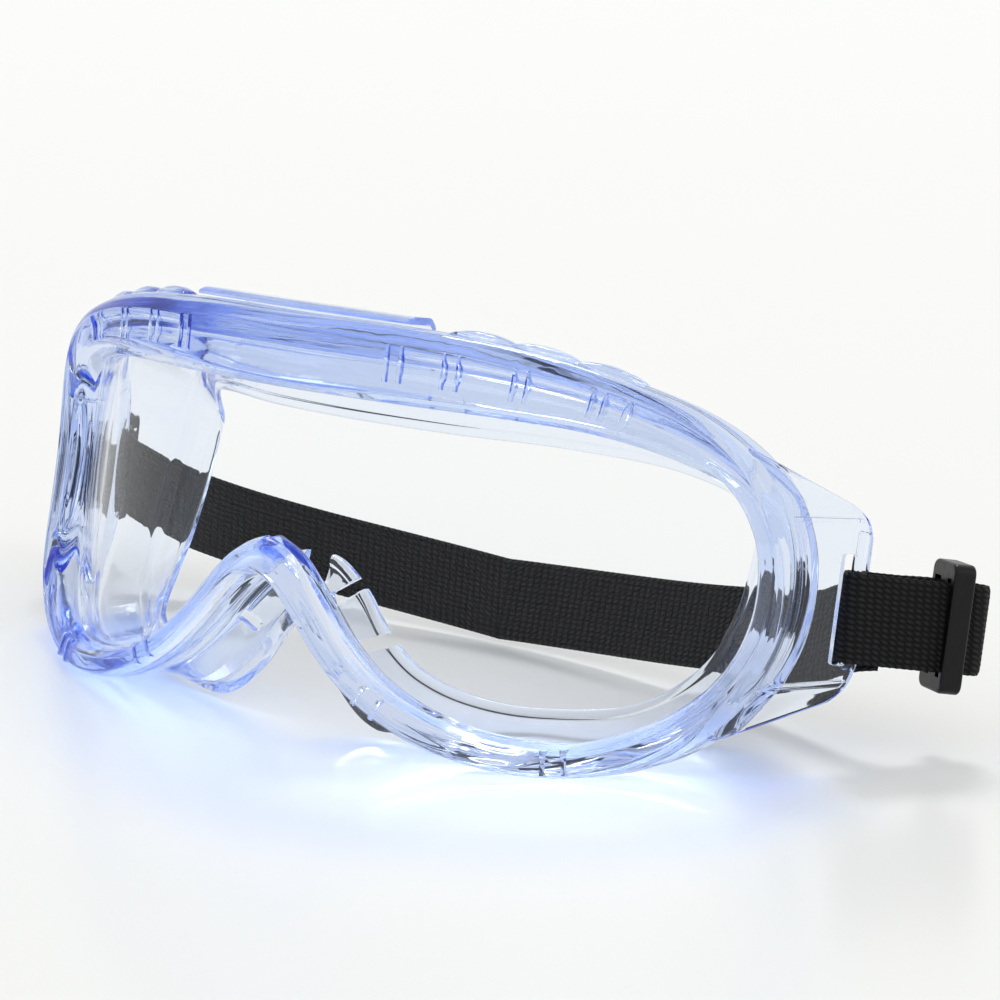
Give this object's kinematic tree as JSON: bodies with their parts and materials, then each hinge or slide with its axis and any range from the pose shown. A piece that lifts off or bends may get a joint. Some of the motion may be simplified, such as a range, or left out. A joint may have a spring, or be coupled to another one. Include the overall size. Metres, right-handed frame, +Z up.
{
  "type": "safety goggles",
  "caption": "Wide-vision safety goggles with a clear curved lens in a soft blue sealing frame, vent covers and an elastic head strap with sliding buckles.",
  "frame": {"origin": "under the middle of the goggles' overall box, on the surface they stand on", "axes": "+X along the lens towards the wearer's left, +Y from the lens towards the face, +Z up"},
  "size_m": [0.2118, 0.077, 0.076],
  "materials": {
    "frame_vinyl": "glossy",
    "lens_clear": "clear glossy",
    "strap_elastic": "woven",
    "buckle_plastic": "semi-gloss"
  },
  "bodies": {
    "goggles": {"frame_body": "frame_vinyl", "lens": "lens_clear", "brow_vent_cover": "frame_vinyl", "vent_cover_left": "frame_vinyl", "vent_cover_right": "frame_vinyl", "strap_band": "strap_elastic"},
    "left_loop": {"strap_loop_left": "strap_elastic"},
    "right_loop": {"strap_loop_right": "strap_elastic"},
    "left_slide": {"buckle_left": "buckle_plastic"},
    "right_slide": {"buckle_right": "buckle_plastic"}
  },
  "joints": [
    {"name": "right_strap_swing", "type": "hinge", "parent": "goggles", "child": "right_loop", "pos_m": [0.08945, 0.0177, 0.02598], "axis": [0, 0.2079, 0.9781], "range_deg": [-35, 30], "deforming": ["strap_band"]},
    {"name": "left_strap_swing", "type": "hinge", "parent": "goggles", "child": "left_loop", "pos_m": [-0.08945, 0.0177, 0.02598], "axis": [0, 0.2079, 0.9781], "range_deg": [-30, 35], "deforming": ["strap_band"]},
    {"name": "right_buckle_slide", "type": "slide", "parent": "right_loop", "child": "right_slide", "axis": [0.6428, 0.7493, -0.1593], "range_m": [-0.0055, 0.001]},
    {"name": "left_buckle_slide", "type": "slide", "parent": "left_loop", "child": "left_slide", "axis": [-0.6428, 0.7493, -0.1593], "range_m": [-0.0055, 0.001]}
  ]
}
